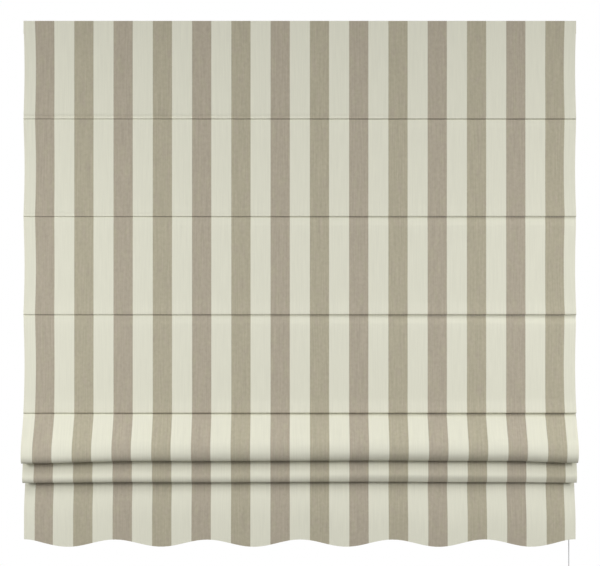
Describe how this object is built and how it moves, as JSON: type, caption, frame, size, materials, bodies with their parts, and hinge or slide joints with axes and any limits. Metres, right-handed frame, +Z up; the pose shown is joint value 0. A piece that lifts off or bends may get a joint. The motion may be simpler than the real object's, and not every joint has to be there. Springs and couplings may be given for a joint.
{
  "type": "roman blind",
  "caption": "Half-raised striped roman blind with soft folds and a scalloped skirt, on a corded head rail with wall brackets and a pull cord.",
  "frame": {"origin": "middle of the four wall screws, on the wall's face", "axes": "+X along the head rail to the pull cord's end, +Y into the wall, +Z up; the cloth's face looks along -Y"},
  "size_m": [1.3, 0.1001, 1.346],
  "materials": {
    "striped_cloth": "matte",
    "rail_aluminium": "satin",
    "white_plastic": "satin",
    "roller_plastic": "satin",
    "ring_plastic": "gloss",
    "rod_fibreglass": "satin",
    "bar_steel": "satin",
    "bracket_steel": "satin",
    "pin_steel": "satin",
    "pin_brass": "satin",
    "lift_cord": "matte",
    "pull_cord": "matte",
    "tape": "matte",
    "acorn_wood": "satin"
  },
  "bodies": {
    "blind": {"striped_cloth": "striped_cloth", "head_rail": "rail_aluminium", "left_end_cap": "white_plastic", "right_end_cap": "white_plastic", "lock_housing": "white_plastic", "condenser_body": "white_plastic", "condenser_cap": "white_plastic", "lift_toggles": "white_plastic", "cord_guide_1": "white_plastic", "cord_guide_2": "white_plastic", "cord_guide_3": "white_plastic", "cord_guide_4": "white_plastic", "ring_row_1": "ring_plastic", "ring_row_2": "ring_plastic", "ring_row_3": "ring_plastic", "ring_row_4": "ring_plastic", "ring_row_5": "ring_plastic", "ring_row_6": "ring_plastic", "rod_1": "rod_fibreglass", "rod_2": "rod_fibreglass", "rod_3": "rod_fibreglass", "rod_4": "rod_fibreglass", "rod_5": "rod_fibreglass", "bottom_bar": "bar_steel", "left_bracket": "bracket_steel", "right_bracket": "bracket_steel", "left_bracket_rivet": "pin_steel", "right_bracket_rivet": "pin_steel", "lock_axle": "pin_steel", "guide_axle_1": "pin_steel", "guide_axle_2": "pin_steel", "guide_axle_3": "pin_steel", "guide_axle_4": "pin_steel", "lift_cord_1": "lift_cord", "lift_cord_2": "lift_cord", "lift_cord_3": "lift_cord", "lift_cord_4": "lift_cord", "cord_knot": "lift_cord", "pull_cord": "pull_cord", "pull_end_knot": "pull_cord", "hook_tape": "tape", "loop_tape": "tape", "pull_acorn": "acorn_wood"},
    "left_lever": {"left_bracket_lever": "bracket_steel"},
    "right_lever": {"right_bracket_lever": "bracket_steel"},
    "roller_1": {"guide_roller_1": "roller_plastic"},
    "roller_2": {"guide_roller_2": "roller_plastic"},
    "roller_3": {"guide_roller_3": "roller_plastic"},
    "roller_4": {"guide_roller_4": "roller_plastic"},
    "lock_roller": {"lock_roller": "roller_plastic"},
    "lock_pin": {"lock_pin": "pin_brass"}
  },
  "joints": [
    {"name": "left_lever_turn", "type": "hinge", "parent": "blind", "child": "left_lever", "pos_m": [-0.375, -0.024, 0.0153], "axis": [0, 0, 1], "range_deg": [0, 90]},
    {"name": "right_lever_turn", "type": "hinge", "parent": "blind", "child": "right_lever", "pos_m": [0.375, -0.024, 0.0153], "axis": [0, 0, 1], "range_deg": [0, 90]},
    {"name": "roller_1_spin", "type": "hinge", "parent": "blind", "child": "roller_1", "pos_m": [-0.5541, -0.026, -0.0003], "axis": [0, 1, 0], "continuous": true},
    {"name": "roller_2_spin", "type": "hinge", "parent": "blind", "child": "roller_2", "pos_m": [-0.18077, -0.026, -0.0003], "axis": [0, 1, 0], "continuous": true},
    {"name": "roller_3_spin", "type": "hinge", "parent": "blind", "child": "roller_3", "pos_m": [0.19257, -0.026, -0.0003], "axis": [0, 1, 0], "continuous": true},
    {"name": "roller_4_spin", "type": "hinge", "parent": "blind", "child": "roller_4", "pos_m": [0.5659, -0.026, -0.0003], "axis": [0, 1, 0], "continuous": true},
    {"name": "lock_roller_spin", "type": "hinge", "parent": "blind", "child": "lock_roller", "pos_m": [0.6296, -0.026, -0.0003], "axis": [0, 1, 0], "continuous": true},
    {"name": "lock_pin_slide", "type": "slide", "parent": "blind", "child": "lock_pin", "axis": [0.866, 0, 0.5], "range_m": [0, 0.003]}
  ],
  "couplings": [
    {"joint": "roller_2_spin", "follows": "roller_1_spin", "ratio": 1},
    {"joint": "roller_3_spin", "follows": "roller_1_spin", "ratio": 1},
    {"joint": "roller_4_spin", "follows": "roller_1_spin", "ratio": 1},
    {"joint": "lock_roller_spin", "follows": "roller_1_spin", "ratio": 1}
  ]
}
